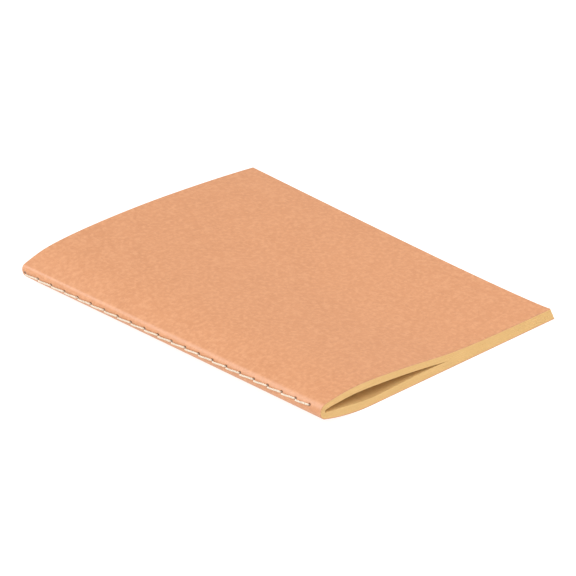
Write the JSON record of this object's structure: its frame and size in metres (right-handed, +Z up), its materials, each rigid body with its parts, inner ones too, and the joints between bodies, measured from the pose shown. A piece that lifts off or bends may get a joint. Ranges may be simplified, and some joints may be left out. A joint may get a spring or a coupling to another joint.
{
  "type": "pocket notebook",
  "caption": "Closed pocket notebook: card cover folded round nested sheets, lockstitched along the spine, that opens like a book.",
  "frame": {"origin": "middle of the footprint, on the surface the notebook lies on", "axes": "+X from the spine to the fore-edge, +Y along the spine from the tail to the head, +Z up, out of the front cover"},
  "size_m": [0.1088, 0.1396, 0.0103],
  "materials": {
    "kraft_card": "matte kraft card with fine fibres",
    "page_paper": "uncoated tan paper",
    "sewing_thread": "twisted cream thread"
  },
  "bodies": {
    "sewn_back": {"cover_back": "kraft_card", "sheet_01_back": "page_paper", "sheet_02_back": "page_paper", "sheet_03_back": "page_paper", "sheet_04_back": "page_paper", "sheet_05_back": "page_paper", "sheet_06_back": "page_paper", "sheet_07_back": "page_paper", "sheet_08_back": "page_paper", "sheet_09_back": "page_paper", "sheet_10_back": "page_paper", "sheet_11_back": "page_paper", "sheet_12_back": "page_paper", "sheet_13_back": "page_paper", "sheet_14_back": "page_paper", "sheet_15_back": "page_paper", "sheet_16_back": "page_paper", "sheet_17_back": "page_paper", "sheet_18_back": "page_paper", "sheet_19_back": "page_paper", "sheet_20_back": "page_paper", "needle_thread": "sewing_thread", "bobbin_thread": "sewing_thread"},
    "cover_front": {"cover_front": "kraft_card"},
    "sheet_01_front": {"sheet_01_front": "page_paper"},
    "sheet_02_front": {"sheet_02_front": "page_paper"},
    "sheet_03_front": {"sheet_03_front": "page_paper"},
    "sheet_04_front": {"sheet_04_front": "page_paper"},
    "sheet_05_front": {"sheet_05_front": "page_paper"},
    "sheet_06_front": {"sheet_06_front": "page_paper"},
    "sheet_07_front": {"sheet_07_front": "page_paper"},
    "sheet_08_front": {"sheet_08_front": "page_paper"},
    "sheet_09_front": {"sheet_09_front": "page_paper"},
    "sheet_10_front": {"sheet_10_front": "page_paper"},
    "sheet_11_front": {"sheet_11_front": "page_paper"},
    "sheet_12_front": {"sheet_12_front": "page_paper"},
    "sheet_13_front": {"sheet_13_front": "page_paper"},
    "sheet_14_front": {"sheet_14_front": "page_paper"},
    "sheet_15_front": {"sheet_15_front": "page_paper"},
    "sheet_16_front": {"sheet_16_front": "page_paper"},
    "sheet_17_front": {"sheet_17_front": "page_paper"},
    "sheet_18_front": {"sheet_18_front": "page_paper"},
    "sheet_19_front": {"sheet_19_front": "page_paper"},
    "sheet_20_front": {"sheet_20_front": "page_paper"}
  },
  "joints": [
    {"name": "cover_opens", "type": "hinge", "parent": "sewn_back", "child": "cover_front", "pos_m": [-0.05359, 0, 0.00587], "axis": [0, -1, 0], "range_deg": [0, 180]},
    {"name": "sheet_01_turns", "type": "hinge", "parent": "sewn_back", "child": "sheet_01_front", "pos_m": [-0.05327, 0, 0.00587], "axis": [0, -1, 0], "range_deg": [0, 176.4]},
    {"name": "sheet_02_turns", "type": "hinge", "parent": "sewn_back", "child": "sheet_02_front", "pos_m": [-0.05317, 0, 0.00587], "axis": [0, -1, 0], "range_deg": [0, 172.8]},
    {"name": "sheet_03_turns", "type": "hinge", "parent": "sewn_back", "child": "sheet_03_front", "pos_m": [-0.05308, 0, 0.00587], "axis": [0, -1, 0], "range_deg": [0, 169.2]},
    {"name": "sheet_04_turns", "type": "hinge", "parent": "sewn_back", "child": "sheet_04_front", "pos_m": [-0.05298, 0, 0.00587], "axis": [0, -1, 0], "range_deg": [0, 165.6]},
    {"name": "sheet_05_turns", "type": "hinge", "parent": "sewn_back", "child": "sheet_05_front", "pos_m": [-0.05288, 0, 0.00587], "axis": [0, -1, 0], "range_deg": [0, 162]},
    {"name": "sheet_06_turns", "type": "hinge", "parent": "sewn_back", "child": "sheet_06_front", "pos_m": [-0.05278, 0, 0.00587], "axis": [0, -1, 0], "range_deg": [0, 158.4]},
    {"name": "sheet_07_turns", "type": "hinge", "parent": "sewn_back", "child": "sheet_07_front", "pos_m": [-0.05268, 0, 0.00587], "axis": [0, -1, 0], "range_deg": [0, 154.8]},
    {"name": "sheet_08_turns", "type": "hinge", "parent": "sewn_back", "child": "sheet_08_front", "pos_m": [-0.05259, 0, 0.00587], "axis": [0, -1, 0], "range_deg": [0, 151.2]},
    {"name": "sheet_09_turns", "type": "hinge", "parent": "sewn_back", "child": "sheet_09_front", "pos_m": [-0.05249, 0, 0.00587], "axis": [0, -1, 0], "range_deg": [0, 147.6]},
    {"name": "sheet_10_turns", "type": "hinge", "parent": "sewn_back", "child": "sheet_10_front", "pos_m": [-0.05239, 0, 0.00587], "axis": [0, -1, 0], "range_deg": [0, 144]},
    {"name": "sheet_11_turns", "type": "hinge", "parent": "sewn_back", "child": "sheet_11_front", "pos_m": [-0.05229, 0, 0.00587], "axis": [0, -1, 0], "range_deg": [0, 140.4]},
    {"name": "sheet_12_turns", "type": "hinge", "parent": "sewn_back", "child": "sheet_12_front", "pos_m": [-0.05219, 0, 0.00587], "axis": [0, -1, 0], "range_deg": [0, 136.8]},
    {"name": "sheet_13_turns", "type": "hinge", "parent": "sewn_back", "child": "sheet_13_front", "pos_m": [-0.0521, 0, 0.00587], "axis": [0, -1, 0], "range_deg": [0, 133.2]},
    {"name": "sheet_14_turns", "type": "hinge", "parent": "sewn_back", "child": "sheet_14_front", "pos_m": [-0.052, 0, 0.00587], "axis": [0, -1, 0], "range_deg": [0, 129.6]},
    {"name": "sheet_15_turns", "type": "hinge", "parent": "sewn_back", "child": "sheet_15_front", "pos_m": [-0.0519, 0, 0.00587], "axis": [0, -1, 0], "range_deg": [0, 126]},
    {"name": "sheet_16_turns", "type": "hinge", "parent": "sewn_back", "child": "sheet_16_front", "pos_m": [-0.0518, 0, 0.00587], "axis": [0, -1, 0], "range_deg": [0, 122.4]},
    {"name": "sheet_17_turns", "type": "hinge", "parent": "sewn_back", "child": "sheet_17_front", "pos_m": [-0.0517, 0, 0.00587], "axis": [0, -1, 0], "range_deg": [0, 118.8]},
    {"name": "sheet_18_turns", "type": "hinge", "parent": "sewn_back", "child": "sheet_18_front", "pos_m": [-0.05161, 0, 0.00587], "axis": [0, -1, 0], "range_deg": [0, 115.2]},
    {"name": "sheet_19_turns", "type": "hinge", "parent": "sewn_back", "child": "sheet_19_front", "pos_m": [-0.05151, 0, 0.00587], "axis": [0, -1, 0], "range_deg": [0, 111.6]},
    {"name": "sheet_20_turns", "type": "hinge", "parent": "sewn_back", "child": "sheet_20_front", "pos_m": [-0.05141, 0, 0.00587], "axis": [0, -1, 0], "range_deg": [0, 108]}
  ],
  "couplings": [
    {"joint": "sheet_01_turns", "follows": "cover_opens", "ratio": 0.98},
    {"joint": "sheet_02_turns", "follows": "cover_opens", "ratio": 0.96},
    {"joint": "sheet_03_turns", "follows": "cover_opens", "ratio": 0.94},
    {"joint": "sheet_04_turns", "follows": "cover_opens", "ratio": 0.92},
    {"joint": "sheet_05_turns", "follows": "cover_opens", "ratio": 0.9},
    {"joint": "sheet_06_turns", "follows": "cover_opens", "ratio": 0.88},
    {"joint": "sheet_07_turns", "follows": "cover_opens", "ratio": 0.86},
    {"joint": "sheet_08_turns", "follows": "cover_opens", "ratio": 0.84},
    {"joint": "sheet_09_turns", "follows": "cover_opens", "ratio": 0.82},
    {"joint": "sheet_10_turns", "follows": "cover_opens", "ratio": 0.8},
    {"joint": "sheet_11_turns", "follows": "cover_opens", "ratio": 0.78},
    {"joint": "sheet_12_turns", "follows": "cover_opens", "ratio": 0.76},
    {"joint": "sheet_13_turns", "follows": "cover_opens", "ratio": 0.74},
    {"joint": "sheet_14_turns", "follows": "cover_opens", "ratio": 0.72},
    {"joint": "sheet_15_turns", "follows": "cover_opens", "ratio": 0.7},
    {"joint": "sheet_16_turns", "follows": "cover_opens", "ratio": 0.68},
    {"joint": "sheet_17_turns", "follows": "cover_opens", "ratio": 0.66},
    {"joint": "sheet_18_turns", "follows": "cover_opens", "ratio": 0.64},
    {"joint": "sheet_19_turns", "follows": "cover_opens", "ratio": 0.62},
    {"joint": "sheet_20_turns", "follows": "cover_opens", "ratio": 0.6}
  ]
}
